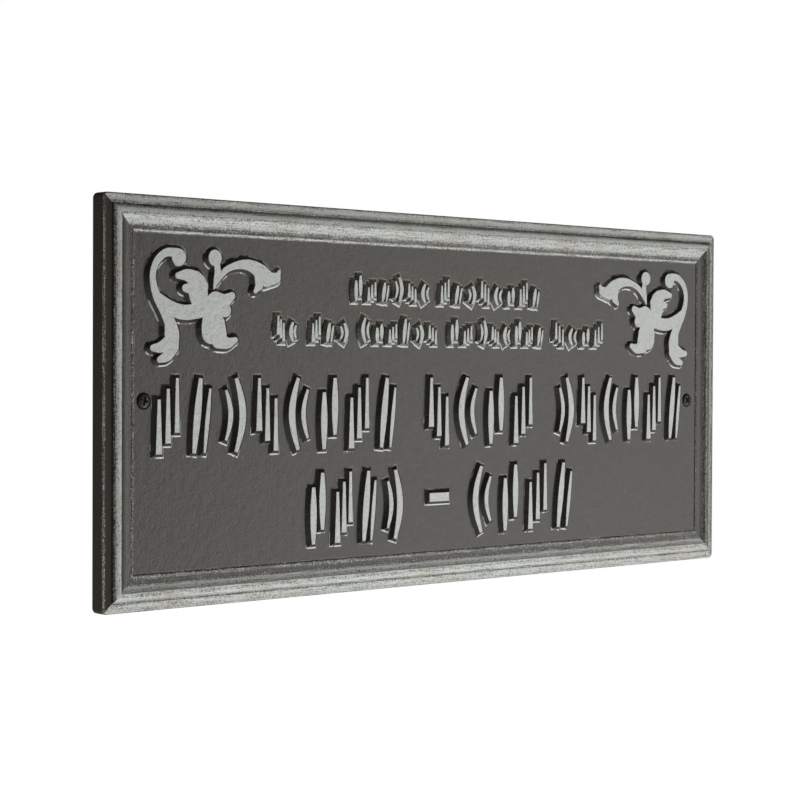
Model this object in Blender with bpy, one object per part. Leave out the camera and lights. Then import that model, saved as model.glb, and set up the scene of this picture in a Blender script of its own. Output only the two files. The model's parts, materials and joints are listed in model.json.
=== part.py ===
"""Cast wall plaque in metres, +Z up. Its flat back lies in the plane y = 0 and its front faces -Y.

Sizes below are in millimetres. Insets run inwards from the outer edge of the plate, and heights run out
from the wall.
"""

import math

import bmesh
import bpy
from mathutils import Vector

MM = 0.001

# Plate
PLATE_WIDTH = 432.0
PLATE_HEIGHT = 190.0
CORNER_RADIUS = 2.6
INNER_CORNER_RADIUS = 0.35
CORNER_STEPS = 2
BACK_ROUNDING = 0.8
FIELD_HEIGHT = 8.4

# Moulded border, from the outer edge to the field
EDGE_HEIGHT = 8.5
EDGE_ROUNDING = 0.7
RIM_WIDTH = 4.2
RIM_RISE = 0.45
GROOVE_WIDTH = 0.7
GROOVE_DEPTH = 0.2
CREST_WIDTH = 4.1
CREST_HEIGHT = 10.4
CREST_EDGE_WIDTH = 0.3
CREST_EDGE_DROP = 0.25
COVE_WIDTH = 5.3
VALLEY_HEIGHT = 8.75
BEAD_GAP = 0.7
BEAD_WIDTH = 1.9
BEAD_RISE = 0.3
EDGE_STEPS = 2
RIM_STEPS = 3
GROOVE_STEPS = 2
CREST_STEPS = 5
COVE_STEPS = 4
BEAD_STEPS = 4

# Raised work
RELIEF = 2.0
DRAFT_WIDTH = 1.6
ROOT_DEPTH = 0.6
TRIM_ALLOWANCE = 0.08
LEVEL_STEP = 0.004
LEVELS = 40
DESIGN_SHIFT = -1.0
TIP_STEPS = 3
PATH_STEPS = 2
DISC_STEPS = 12
INNER_BEND_LIMIT = 0.9
SMALLEST_REACH = 0.08

# Rows of strokes: each word runs from a left to a right end and is filled with marks at about the pitch
SMALL_HEIGHT = 12.4
SMALL_HALF_WIDTH = 1.0
SMALL_PITCH = 9.0
LARGE_HEIGHT = 34.8
LARGE_HALF_WIDTH = 2.0
LARGE_PITCH = 18.0
MARK_GAP_SHARE = 0.2
FIRST_ROW_FOOT = 49.8
FIRST_ROW_WORDS = [(-67.9, -14.8), (-8.3, 67.4)]
SECOND_ROW_FOOT = 29.0
SECOND_ROW_WORDS = [
    (-116.7, -103.0),
    (-95.0, -70.0),
    (-62.9, -9.5),
    (-1.5, 16.1),
    (20.3, 70.4),
    (77.8, 118.0),
]
THIRD_ROW_FOOT = -23.4
THIRD_ROW_WORDS = [(-188.0, -35.9), (-16.6, 62.4), (80.4, 187.1)]
FOURTH_ROW_FOOT = -69.8
FOURTH_ROW_WORDS = [(-96.7, -32.4), (14.7, 95.4)]
LOWER_MARK_SHARE = 0.76
DASH_LEFT = -14.9
DASH_RIGHT = -1.0
DASH_MIDDLE = -50.0
DASH_HALF_WIDTH = 2.2

# Screws and their holes
SCREW_INSET = 23.4
SCREW_LEFT_RISE = 1.0
SCREW_RIGHT_RISE = -1.8
SCREW_LEFT_TURN = 12.0
SCREW_RIGHT_TURN = 42.0
HEAD_RADIUS = 3.5
HEAD_RIM = 0.25
HEAD_DOME = 0.9
SEAT_DEPTH = 1.9
SHANK_RADIUS = 1.75
CLEARANCE = 0.35
SHANK_END = 0.35
CUT_PAST = 2.0
RECESS_LENGTH = 4.4
RECESS_WIDTH = 1.0
RECESS_DEPTH = 1.7
ROUND_STEPS = 18

# Bowed strokes: half width of the tips as a share of the middle, and straight pieces along each
TIP_SHARE = 0.5
SMALL_BOW_PIECES = 2
LARGE_BOW_PIECES = 4

# Left scroll ornament: strokes of across, up and half width from the middle of the plate
OUTER_SCROLL = [
    (-175.5, 69.0, 2.2),
    (-181.5, 68.9, 1.9),
    (-186.4, 65.3, 1.8),
    (-188.8, 60.0, 1.7),
    (-188.7, 54.5, 1.8),
    (-186.6, 48.6, 2.2),
    (-183.2, 43.0, 2.3),
    (-179.6, 37.4, 3.1),
    (-178.3, 32.0, 4.1),
    (-178.2, 27.6, 3.9),
]
FOOT_UPPER_LEAF = [(-179.4, 28.0, 3.4), (-184.4, 25.6, 2.6), (-188.8, 25.2, 1.6)]
FOOT_LOWER_LEAF = [(-177.9, 26.0, 3.6), (-180.9, 21.7, 2.7), (-185.1, 19.9, 1.5)]
CUP = [
    (-185.5, 48.3, 2.0),
    (-181.0, 45.2, 2.7),
    (-175.5, 42.5, 3.4),
    (-169.0, 41.8, 3.5),
    (-159.0, 43.6, 3.6),
]
UPPER_PETAL = [(-161.4, 44.0, 3.8), (-163.0, 49.8, 5.4), (-163.6, 55.0, 5.2)]
UPPER_PETAL_HOOK = [(-164.8, 57.0, 4.2), (-169.5, 58.9, 2.9), (-174.9, 58.6, 1.5)]
UPPER_PETAL_BARB = [(-164.5, 52.6, 3.2), (-170.6, 53.0, 1.9)]
RIGHT_PETAL = [(-158.0, 44.8, 3.4), (-153.4, 46.4, 5.4), (-150.2, 46.6, 4.6)]
RIGHT_PETAL_CORNER = [(-150.0, 46.0, 4.2), (-143.5, 50.0, 1.9)]
RIGHT_PETAL_LOBE = [(-155.0, 43.2, 3.2), (-147.2, 43.2, 3.2)]
LOWER_PETAL = [(-157.4, 41.4, 3.0), (-156.5, 36.4, 4.8), (-155.7, 32.6, 5.4)]
LOWER_PETAL_SIDE = [(-152.2, 36.6, 4.6), (-150.6, 32.0, 4.0)]
LOWER_PETAL_HOOK = [(-151.4, 29.2, 4.0), (-146.0, 27.9, 2.7), (-141.4, 29.3, 1.4)]
BALL_STEM = [(-152.6, 65.4, 1.6), (-151.9, 61.2, 1.8), (-152.8, 57.4, 1.5), (-153.9, 53.4, 0.6)]
ARM = [
    (-153.0, 55.6, 1.0),
    (-148.4, 61.0, 1.5),
    (-143.2, 63.8, 1.6),
    (-137.0, 65.0, 2.2),
    (-131.0, 64.2, 3.0),
    (-125.6, 61.4, 3.9),
    (-121.4, 59.0, 3.4),
]
ARM_TIP = [(-123.2, 58.4, 3.5), (-116.6, 59.3, 2.5)]
ARM_TIP_END = [(-116.2, 59.6, 2.1), (-114.9, 62.2, 1.0)]
ARM_CURL = [(-127.0, 61.6, 3.2), (-127.2, 55.8, 2.3)]
ARM_CURL_TIP = [(-127.2, 55.2, 2.3), (-129.4, 52.8, 1.2)]
SCROLL_STROKES = [
    OUTER_SCROLL,
    FOOT_UPPER_LEAF,
    FOOT_LOWER_LEAF,
    CUP,
    UPPER_PETAL,
    UPPER_PETAL_HOOK,
    UPPER_PETAL_BARB,
    RIGHT_PETAL,
    RIGHT_PETAL_CORNER,
    RIGHT_PETAL_LOBE,
    LOWER_PETAL,
    LOWER_PETAL_SIDE,
    LOWER_PETAL_HOOK,
    BALL_STEM,
    ARM,
    ARM_TIP,
    ARM_TIP_END,
    ARM_CURL,
    ARM_CURL_TIP,
]
SCROLL_DISCS = [(-174.3, 67.0, 4.0), (-174.9, 65.4, 2.6), (-153.5, 67.5, 3.8), (-160.6, 54.0, 3.1)]


def smooth_path(controls):
    """Samples of across, up and half width on a smooth curve through the controls."""
    knots = [Vector(control) for control in controls]
    if len(knots) == 2:
        return knots
    padded = [2 * knots[0] - knots[1]] + knots + [2 * knots[-1] - knots[-2]]
    samples = []
    for index in range(len(knots) - 1):
        before, start, end, after = padded[index : index + 4]
        for step in range(PATH_STEPS):
            share = step / PATH_STEPS
            linear = (end - before) * share
            squared = (2 * before - 5 * start + 4 * end - after) * share**2
            cubed = (3 * start - before - 3 * end + after) * share**3
            samples.append(0.5 * (2 * start + linear + squared + cubed))
    samples.append(knots[-1])
    return samples


def bend_at(before, middle, after):
    """Signed curvature of the path at its middle sample, positive where it turns left."""
    first = (middle - before).to_2d()
    second = (after - middle).to_2d()
    chord = (after - before).to_2d()
    lengths = first.length * second.length * chord.length
    if lengths < 1e-9:
        return 0.0
    return 2 * (first.x * second.y - first.y * second.x) / lengths


def end_points(end, neighbour, widening, square):
    """Points that close an outline past one end of a path, from the side on its left to its right."""
    centre = end.to_2d()
    along = (end - neighbour).to_2d().normalized()
    side = Vector((-along.y, along.x))
    radius = max(end.z + widening, SMALLEST_REACH)
    if square:
        corner = centre + along * widening
        return [corner + side * radius, corner - side * radius]
    points = []
    for step in range(TIP_STEPS + 1):
        angle = math.pi * (0.5 - step / TIP_STEPS)
        points.append(centre + (along * math.cos(angle) + side * math.sin(angle)) * radius)
    return points


def stroke_outline(samples, widening, square):
    """Closed outline round a path, its half widths made larger by the widening."""
    left = []
    right = []
    last = len(samples) - 1
    for index in range(1, last):
        before, middle, after = samples[index - 1 : index + 2]
        along = (after - before).to_2d().normalized()
        side = Vector((-along.y, along.x))
        bend = bend_at(before, middle, after)
        reach = max(middle.z + widening, SMALLEST_REACH)
        inner_reach = min(reach, INNER_BEND_LIMIT / max(abs(bend), 1e-6))
        left.append(middle.to_2d() + side * (inner_reach if bend > 0 else reach))
        right.append(middle.to_2d() - side * (inner_reach if bend < 0 else reach))
    end = end_points(samples[last], samples[last - 1], widening, square)
    start = end_points(samples[0], samples[1], widening, square)
    return left + end + right[::-1] + start


def disc_outline(disc, widening):
    """Closed outline of a disc given as across, up and radius."""
    across, up, radius = disc
    outline = []
    for step in range(DISC_STEPS):
        angle = math.tau * step / DISC_STEPS
        reach = radius + widening
        outline.append(Vector((across + reach * math.cos(angle), up + reach * math.sin(angle))))
    return outline


def rounded_rectangle(inset):
    """Outline of the plate at an inset from its outer edge."""
    half_width = PLATE_WIDTH / 2 - inset
    half_height = PLATE_HEIGHT / 2 - inset
    radius = max(CORNER_RADIUS - inset, INNER_CORNER_RADIUS)
    outline = []
    for quarter, (sign_x, sign_z) in enumerate([(1, 1), (-1, 1), (-1, -1), (1, -1)]):
        for step in range(CORNER_STEPS + 1):
            angle = math.pi / 2 * (quarter + step / CORNER_STEPS)
            across = sign_x * (half_width - radius) + radius * math.cos(angle)
            up = sign_z * (half_height - radius) + radius * math.sin(angle)
            outline.append(Vector((across, up)))
    return outline


def new_object(name, mesh, collection):
    """Adds an object for the mesh to the collection."""
    made = bpy.data.objects.new(name, mesh)
    collection.objects.link(made)
    return made


def loft(name, outlines, heights, collection):
    """Closed solid through outlines of equal length, each at its height from the wall."""
    form = bmesh.new()
    rings = []
    for outline, height in zip(outlines, heights):
        rings.append([form.verts.new((point.x * MM, -height * MM, point.y * MM)) for point in outline])
    for lower, upper in zip(rings[:-1], rings[1:]):
        for index in range(len(lower)):
            following = (index + 1) % len(lower)
            form.faces.new((lower[index], lower[following], upper[following]))
            form.faces.new((lower[index], upper[following], upper[index]))
    form.faces.new(rings[0])
    form.faces.new(rings[-1])
    bmesh.ops.dissolve_degenerate(form, dist=0.001 * MM, edges=form.edges)
    bmesh.ops.recalc_face_normals(form, faces=form.faces)
    mesh = bpy.data.meshes.new(name)
    form.to_mesh(mesh)
    form.free()
    return new_object(name, mesh, collection)


def turned(name, profile, collection):
    """Closed solid turned about the Y axis from a profile of radius and height from the wall."""
    form = bmesh.new()
    points = [form.verts.new((radius * MM, -height * MM, 0)) for radius, height in profile]
    edges = [form.edges.new(pair) for pair in zip(points[:-1], points[1:])]
    bmesh.ops.spin(
        form,
        geom=points + edges,
        cent=(0, 0, 0),
        axis=(0, 1, 0),
        angle=math.tau,
        steps=ROUND_STEPS,
        use_merge=True,
    )
    bmesh.ops.remove_doubles(form, verts=form.verts, dist=0.001 * MM)
    bmesh.ops.recalc_face_normals(form, faces=form.faces)
    mesh = bpy.data.meshes.new(name)
    form.to_mesh(mesh)
    form.free()
    return new_object(name, mesh, collection)


def ellipse_quarter(start, width, rise, steps):
    """Quarter of an ellipse from the start, steep at first and flat at its end."""
    inset, height = start
    points = []
    for step in range(1, steps + 1):
        angle = math.pi / 2 * step / steps
        points.append((inset + width * (1 - math.cos(angle)), height + rise * math.sin(angle)))
    return points


def border_profile():
    """Insets and heights of the moulded border, from the back edge round the front to the field."""
    profile = [(BACK_ROUNDING, 0.0), (BACK_ROUNDING * 0.29, BACK_ROUNDING * 0.29), (0.0, BACK_ROUNDING)]
    rim_start = (0.0, EDGE_HEIGHT - EDGE_ROUNDING)
    profile.append(rim_start)
    profile += ellipse_quarter(rim_start, EDGE_ROUNDING, EDGE_ROUNDING, EDGE_STEPS)
    for step in range(1, RIM_STEPS):
        share = step / RIM_STEPS
        rim_inset = EDGE_ROUNDING + (RIM_WIDTH - EDGE_ROUNDING) * share
        profile.append((rim_inset, EDGE_HEIGHT + RIM_RISE * share**2))
    rim_height = EDGE_HEIGHT + RIM_RISE
    for step in range(GROOVE_STEPS + 1):
        share = step / GROOVE_STEPS
        groove_height = rim_height - GROOVE_DEPTH * math.sin(math.pi * share)
        profile.append((RIM_WIDTH + GROOVE_WIDTH * share, groove_height))
    crest_foot = (RIM_WIDTH + GROOVE_WIDTH, rim_height)
    profile += ellipse_quarter(crest_foot, CREST_WIDTH, CREST_HEIGHT - rim_height, CREST_STEPS)
    cove_start = crest_foot[0] + CREST_WIDTH + CREST_EDGE_WIDTH
    cove_drop = CREST_HEIGHT - CREST_EDGE_DROP - VALLEY_HEIGHT
    for step in range(COVE_STEPS + 1):
        share = step / COVE_STEPS
        profile.append((cove_start + COVE_WIDTH * share, VALLEY_HEIGHT + cove_drop * (1 - share) ** 2))
    bead_start = cove_start + COVE_WIDTH + BEAD_GAP
    for step in range(BEAD_STEPS + 1):
        share = step / BEAD_STEPS
        base = VALLEY_HEIGHT + (FIELD_HEIGHT - VALLEY_HEIGHT) * share
        profile.append((bead_start + BEAD_WIDTH * share, base + BEAD_RISE * math.sin(math.pi * share)))
    return profile


def plate(collection):
    """The plate with its moulded border, before the raised work and the holes."""
    profile = border_profile()
    outlines = [rounded_rectangle(inset) for inset, height in profile]
    return loft("plaque", outlines, [height for inset, height in profile], collection)


def raise_outline(name, outline_at, collection):
    """Drafted solid that stands on the field, from a function that gives its outline at a widening."""
    # Each solid has its own level, so that no two lie in one plane before the tops are trimmed.
    level = LEVEL_STEP * (len(collection.objects) % LEVELS)
    root = ROOT_DEPTH + level
    allowance = TRIM_ALLOWANCE + level
    outlines = [outline_at(DRAFT_WIDTH * (1 + root / RELIEF)), outline_at(-DRAFT_WIDTH * allowance / RELIEF)]
    heights = [FIELD_HEIGHT - root, FIELD_HEIGHT + RELIEF + allowance]
    return loft(name, outlines, heights, collection)


def raise_stroke(name, samples, square, collection):
    """Drafted solid along one stroke of across, up and half width samples."""
    path = [Vector(sample) for sample in samples]
    return raise_outline(name, lambda widening: stroke_outline(path, widening, square), collection)


def raise_disc(name, disc, collection):
    """Drafted solid over one disc."""
    return raise_outline(name, lambda widening: disc_outline(disc, widening), collection)


def scrolls(collection):
    """Both scroll ornaments: the left one as drawn and the right one mirrored."""
    for side, hand in (("left", 1), ("right", -1)):
        for index, controls in enumerate(SCROLL_STROKES):
            placed = [(hand * across + DESIGN_SHIFT, up, half) for across, up, half in controls]
            raise_stroke(f"scroll_{side}_{index}", smooth_path(placed), False, collection)
        for index, (across, up, radius) in enumerate(SCROLL_DISCS):
            raise_disc(f"ball_{side}_{index}", (hand * across + DESIGN_SHIFT, up, radius), collection)


def wedge(across, low, high, low_weight, high_weight):
    """Straight upright stroke, as across, up and weight in shares of a mark's cell."""
    return [(across, low, low_weight), (across, high, high_weight)]


def bow(low_across, high_across, depth, low, high, weight, pieces):
    """Stroke with thin tips that bows sideways by its depth, or a pointed bar where the depth is 0."""
    samples = []
    for piece in range(pieces + 1):
        share = piece / pieces
        swell = math.sin(math.pi * share)
        across = low_across + (high_across - low_across) * share + depth * swell
        samples.append((across, low + (high - low) * share, weight * (TIP_SHARE + (1 - TIP_SHARE) * swell)))
    return samples


def marks(pieces):
    """The abstract marks that the rows repeat. None is a letter or a figure."""
    falling_wedges = [
        wedge(0.06, 0.28, 1.0, 0.9, 0.4),
        wedge(0.50, 0.14, 0.86, 0.8, 0.4),
        wedge(0.94, 0.0, 0.72, 0.7, 0.4),
    ]
    nested_left = [
        bow(0.46, 0.46, -0.34, 0.0, 1.0, 1.0, pieces),
        bow(0.98, 0.98, -0.24, 0.16, 0.84, 0.7, pieces),
    ]
    staggered_lenses = [
        bow(0.20, 0.20, 0.0, 0.0, 0.80, 1.0, pieces),
        bow(0.80, 0.80, 0.0, 0.20, 1.0, 1.0, pieces),
    ]
    leaning_lenses = [
        bow(0.10, 0.42, 0.0, 0.0, 1.0, 1.0, pieces),
        bow(0.62, 0.90, 0.0, 0.0, 0.86, 0.6, pieces),
    ]
    nested_right = [
        bow(0.02, 0.02, 0.24, 0.16, 0.84, 0.7, pieces),
        bow(0.54, 0.54, 0.34, 0.0, 1.0, 1.0, pieces),
    ]
    rising_wedges = [
        wedge(0.06, 0.0, 0.72, 0.9, 0.4),
        wedge(0.50, 0.14, 0.86, 0.8, 0.4),
        wedge(0.94, 0.28, 1.0, 0.7, 0.4),
    ]
    return [
        falling_wedges,
        nested_left,
        staggered_lenses,
        rising_wedges,
        leaning_lenses,
        nested_right,
    ]


def in_cell(stroke, left, foot, width, height, half_width):
    """Samples of one stroke in millimetres, fitted inside its cell."""
    inner = width - 2 * half_width
    return [
        (left + half_width + across * inner, foot + up * height, half_width * weight)
        for across, up, weight in stroke
    ]


def row(name, foot, words, height, half_width, target_pitch, lower_share, pieces, collection):
    """One row of raised marks. After the first in a word, most are as low as the lower share."""
    kinds = marks(pieces)
    turn = len(words)
    for word_index, (left, right) in enumerate(words):
        count = max(1, round((right - left) / target_pitch))
        pitch = (right - left) / (count - MARK_GAP_SHARE)
        width = pitch * (1 - MARK_GAP_SHARE)
        for index in range(count):
            low = index % 3 != 0
            mark_height = height * (lower_share if low else 1.0)
            cell_left = left + index * pitch + DESIGN_SHIFT
            for stroke_index, stroke in enumerate(kinds[(turn + index) % len(kinds)]):
                samples = in_cell(stroke, cell_left, foot, width, mark_height, half_width)
                raise_stroke(f"{name}_{word_index}_{index}_{stroke_index}", samples, True, collection)
        turn += count + 1


def dash(collection):
    """The short level bar in the middle of the fourth row."""
    controls = [
        (DASH_LEFT + DESIGN_SHIFT, DASH_MIDDLE, DASH_HALF_WIDTH),
        (DASH_RIGHT + DESIGN_SHIFT, DASH_MIDDLE, DASH_HALF_WIDTH),
    ]
    raise_stroke("dash", controls, True, collection)


def small_row(name, foot, words, collection):
    """One of the two upper rows."""
    shape = (SMALL_HEIGHT, SMALL_HALF_WIDTH, SMALL_PITCH, LOWER_MARK_SHARE, SMALL_BOW_PIECES)
    row(name, foot, words, *shape, collection)


def large_row(name, foot, words, collection):
    """One of the two lower rows."""
    shape = (LARGE_HEIGHT, LARGE_HALF_WIDTH, LARGE_PITCH, 1.0, LARGE_BOW_PIECES)
    row(name, foot, words, *shape, collection)


def inscription(collection):
    """All four rows of raised marks."""
    small_row("row_one", FIRST_ROW_FOOT, FIRST_ROW_WORDS, collection)
    small_row("row_two", SECOND_ROW_FOOT, SECOND_ROW_WORDS, collection)
    large_row("row_three", THIRD_ROW_FOOT, THIRD_ROW_WORDS, collection)
    large_row("row_four", FOURTH_ROW_FOOT, FOURTH_ROW_WORDS, collection)
    dash(collection)


def screw_places():
    """Name, across, up and turn of each screw."""
    half = PLATE_WIDTH / 2 - SCREW_INSET
    return [
        ("screw_left", DESIGN_SHIFT - half, SCREW_LEFT_RISE, SCREW_LEFT_TURN),
        ("screw_right", DESIGN_SHIFT + half, SCREW_RIGHT_RISE, SCREW_RIGHT_TURN),
    ]


def top_cutter(name, collection):
    """Block that trims the raised work flat, over the field only."""
    half_width = PLATE_WIDTH / 2 - border_profile()[-1][0]
    half_height = PLATE_HEIGHT / 2 - border_profile()[-1][0]
    corners = [(half_width, half_height), (-half_width, half_height)]
    corners += [(-half_width, -half_height), (half_width, -half_height)]
    outline = [Vector(corner) for corner in corners]
    heights = [FIELD_HEIGHT + RELIEF, FIELD_HEIGHT + RELIEF + 2 * CLEARANCE]
    return loft(name, [outline, outline], heights, collection)


def hole_cutter(name, across, up, collection):
    """Countersunk hole with clearance round a screw, longer than the plate is thick."""
    bore_radius = SHANK_RADIUS + CLEARANCE
    mouth_radius = HEAD_RADIUS + CLEARANCE
    rim = FIELD_HEIGHT - HEAD_RIM
    profile = [
        (0.0, -CUT_PAST),
        (bore_radius, -CUT_PAST),
        (bore_radius, FIELD_HEIGHT - SEAT_DEPTH - CLEARANCE),
        (mouth_radius, rim - CLEARANCE),
        (mouth_radius, FIELD_HEIGHT + CUT_PAST),
        (0.0, FIELD_HEIGHT + CUT_PAST),
    ]
    cutter = turned(name, profile, collection)
    cutter.location = (across * MM, 0, up * MM)
    return cutter


def recess_cutter(name, collection):
    """Tapered cross that cuts the driver recess."""
    outlines = []
    bottom = (RECESS_LENGTH * 0.4, RECESS_WIDTH * 0.7)
    mouth = (RECESS_LENGTH * 1.15, RECESS_WIDTH * 1.1)
    for length, width in (bottom, mouth):
        arm = length / 2
        half = width / 2
        outline = []
        for quarter in range(4):
            turn = Vector((math.cos(math.pi / 2 * quarter), math.sin(math.pi / 2 * quarter)))
            side = Vector((-turn.y, turn.x))
            outline += [turn * arm - side * half, turn * arm + side * half, turn * half + side * half]
        outlines.append(outline)
    heights = [FIELD_HEIGHT + HEAD_DOME - RECESS_DEPTH, FIELD_HEIGHT + HEAD_DOME + 0.4]
    return loft(name, outlines, heights, collection)


def screw_profile():
    """Radii and heights of a raised countersunk screw, from the end of the shank to the top of the head."""
    profile = [
        (0.0, SHANK_END),
        (SHANK_RADIUS, SHANK_END),
        (SHANK_RADIUS, FIELD_HEIGHT - SEAT_DEPTH),
        (HEAD_RADIUS, FIELD_HEIGHT - HEAD_RIM),
        (HEAD_RADIUS, FIELD_HEIGHT),
    ]
    for step in range(1, 6):
        angle = math.pi / 2 * step / 5
        profile.append((HEAD_RADIUS * math.cos(angle), FIELD_HEIGHT + HEAD_DOME * math.sin(angle)))
    return profile


def add_boolean(target, operation, collection):
    """Joins or cuts the target with every solid of a collection."""
    modifier = target.modifiers.new(operation.lower(), "BOOLEAN")
    modifier.operation = operation
    modifier.operand_type = "COLLECTION"
    modifier.collection = collection
    modifier.solver = "EXACT"


def screw(name, across, up, turn, parts, helpers):
    """One screw with its driver recess, placed and turned."""
    made = turned(name, screw_profile(), parts)
    recess = new_collection(name + "_recess", helpers)
    recess_cutter(name + "_recess_cutter", recess)
    add_boolean(made, "DIFFERENCE", recess)
    for piece in [made] + list(recess.objects):
        piece.location = (across * MM, 0, up * MM)
        piece.rotation_euler = (0, math.radians(turn), 0)
    return made


def new_collection(name, parent):
    """Adds a collection inside the parent."""
    made = bpy.data.collections.new(name)
    parent.children.link(made)
    return made


def hide_helpers(collection):
    """Keeps joined shapes and cutters out of renders."""
    for helper in collection.all_objects:
        helper.hide_render = True
        helper.display_type = "WIRE"


def shade(target, angle):
    """Smooth shading with edges sharper than the angle left crisp."""
    for face in target.data.polygons:
        face.use_smooth = True
    target.data.set_sharp_from_angle(angle=math.radians(angle))


def paint(target, name, colour, roughness, metallic):
    """Gives a piece its material."""
    material = bpy.data.materials.new(name)
    material.use_nodes = True
    surface = material.node_tree.nodes["Principled BSDF"]
    surface.inputs["Base Color"].default_value = (*colour, 1.0)
    surface.inputs["Roughness"].default_value = roughness
    surface.inputs["Metallic"].default_value = metallic
    target.data.materials.append(material)


def clear_scene():
    """Removes the objects of the startup scene."""
    for existing in list(bpy.data.objects):
        bpy.data.objects.remove(existing, do_unlink=True)


def main():
    clear_scene()
    scene_collection = bpy.context.scene.collection
    parts = new_collection("wall_plaque", scene_collection)
    helpers = new_collection("wall_plaque_helpers", scene_collection)
    raised = new_collection("raised_work", helpers)
    cutters = new_collection("cutters", helpers)
    plaque = plate(parts)
    scrolls(raised)
    inscription(raised)
    add_boolean(plaque, "UNION", raised)
    top_cutter("top_trim", cutters)
    paint(plaque, "cast_metal", (0.34, 0.34, 0.32), 0.5, 0.6)
    for name, across, up, turn in screw_places():
        hole_cutter(name + "_hole", across, up, cutters)
        made = screw(name, across, up, turn, parts, helpers)
        shade(made, 35)
        paint(made, name + "_metal", (0.02, 0.02, 0.02), 0.35, 0.9)
    add_boolean(plaque, "DIFFERENCE", cutters)
    shade(plaque, 30)
    hide_helpers(helpers)


main()
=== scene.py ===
"""Looks of the cast wall plaque: finely made plate and screws for the plain ones, finish, light and camera.

Metres, +Z up, the back of the plate in the plane y = 0 and its front towards -Y. Sizes named below are in
millimetres. Insets run inwards from the outer edge of the plate, and heights run out from the wall.
"""

import json
import math

import bmesh
import bpy
from mathutils import Matrix, Vector

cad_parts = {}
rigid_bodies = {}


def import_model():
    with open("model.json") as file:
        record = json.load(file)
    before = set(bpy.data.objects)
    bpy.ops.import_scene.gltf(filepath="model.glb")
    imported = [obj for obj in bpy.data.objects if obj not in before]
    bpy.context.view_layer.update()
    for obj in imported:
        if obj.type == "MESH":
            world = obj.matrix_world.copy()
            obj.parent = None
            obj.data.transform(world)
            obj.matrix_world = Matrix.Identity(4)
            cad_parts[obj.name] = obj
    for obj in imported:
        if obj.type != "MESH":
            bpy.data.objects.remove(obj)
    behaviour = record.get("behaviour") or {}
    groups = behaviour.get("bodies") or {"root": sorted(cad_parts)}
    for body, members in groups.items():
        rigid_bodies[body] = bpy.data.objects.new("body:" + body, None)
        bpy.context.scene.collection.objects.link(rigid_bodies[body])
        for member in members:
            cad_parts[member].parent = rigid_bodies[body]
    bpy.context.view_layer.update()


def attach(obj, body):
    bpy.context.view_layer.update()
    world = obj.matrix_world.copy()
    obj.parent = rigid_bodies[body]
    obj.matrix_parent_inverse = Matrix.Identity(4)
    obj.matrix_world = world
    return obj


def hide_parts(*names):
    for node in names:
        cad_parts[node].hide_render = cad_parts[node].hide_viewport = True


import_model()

MM = 0.001

# Plate
PLATE_WIDTH = 432.0
PLATE_HEIGHT = 190.0
CORNER_RADIUS = 2.6
INNER_CORNER_RADIUS = 0.35
CORNER_STEPS = 6
BACK_ROUNDING = 0.8
FIELD_HEIGHT = 8.4

# Moulded border, from the outer edge to the field
EDGE_HEIGHT = 8.5
EDGE_ROUNDING = 0.7
RIM_WIDTH = 4.2
RIM_RISE = 0.45
GROOVE_WIDTH = 0.7
GROOVE_DEPTH = 0.2
CREST_WIDTH = 4.1
CREST_HEIGHT = 10.4
CREST_EDGE_WIDTH = 0.3
CREST_EDGE_DROP = 0.25
COVE_WIDTH = 5.3
VALLEY_HEIGHT = 8.75
BEAD_GAP = 0.7
BEAD_WIDTH = 1.9
BEAD_RISE = 0.3
EDGE_STEPS = 5
RIM_STEPS = 6
GROOVE_STEPS = 6
CREST_STEPS = 12
COVE_STEPS = 10
BEAD_STEPS = 10

# Raised work
RELIEF = 2.0
ROOT_DEPTH = 0.6
TRIM_ALLOWANCE = 0.08
LEVEL_STEP = 0.0017
LEVELS = 40
DESIGN_SHIFT = -1.0
INNER_BEND_LIMIT = 0.9
SMALLEST_REACH = 0.06
TIP_STEPS = 8
PATH_STEPS = 6
DISC_STEPS = 48

# Limits of the mesh work, and the angle in degrees from which an edge is sharp
TINY_PRODUCT = 1e-9
TINY_BEND = 1e-6
TINY_EDGE = 0.0005
MERGE_DISTANCE = 0.001
STRAIGHT_AHEAD = 0.9999
SHARP_ANGLE = 30.0

# Wall of the raised work, with a low lip at its foot: height above the field and distance outside the top
LIP_OUTSIDE = 2.15
ROOT_SPREAD = 0.1
WALL_STEPS = [
    (0.0, LIP_OUTSIDE),
    (0.07, 1.95),
    (0.16, 1.75),
    (0.25, 1.55),
    (0.36, 1.4),
    (1.8, 0.14),
    (RELIEF, -0.06),
]

# Rows of strokes: each word runs from a left to a right end and is filled with marks at about the pitch
SMALL_HEIGHT = 12.4
SMALL_HALF_WIDTH = 1.2
SMALL_PITCH = 9.0
LARGE_HEIGHT = 34.8
LARGE_HALF_WIDTH = 2.0
LARGE_PITCH = 18.0
MARK_GAP_SHARE = 0.2
FIRST_ROW_FOOT = 49.8
FIRST_ROW_WORDS = [(-67.9, -14.8), (-8.3, 67.4)]
SECOND_ROW_FOOT = 29.0
SECOND_ROW_WORDS = [
    (-116.7, -103.0),
    (-95.0, -70.0),
    (-62.9, -9.5),
    (-1.5, 16.1),
    (20.3, 70.4),
    (77.8, 118.0),
]
THIRD_ROW_FOOT = -23.4
THIRD_ROW_WORDS = [(-188.0, -35.9), (-16.6, 62.4), (80.4, 187.1)]
FOURTH_ROW_FOOT = -69.8
FOURTH_ROW_WORDS = [(-96.7, -32.4), (14.7, 95.4)]
LOWER_MARK_SHARE = 0.76
DASH_LEFT = -14.9
DASH_RIGHT = -1.0
DASH_MIDDLE = -50.0
DASH_HALF_WIDTH = 2.2

# Bowed strokes: half width of the tips as a share of the middle, and straight pieces along each
TIP_SHARE = 0.5
SMALL_BOW_PIECES = 8
LARGE_BOW_PIECES = 14

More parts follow.
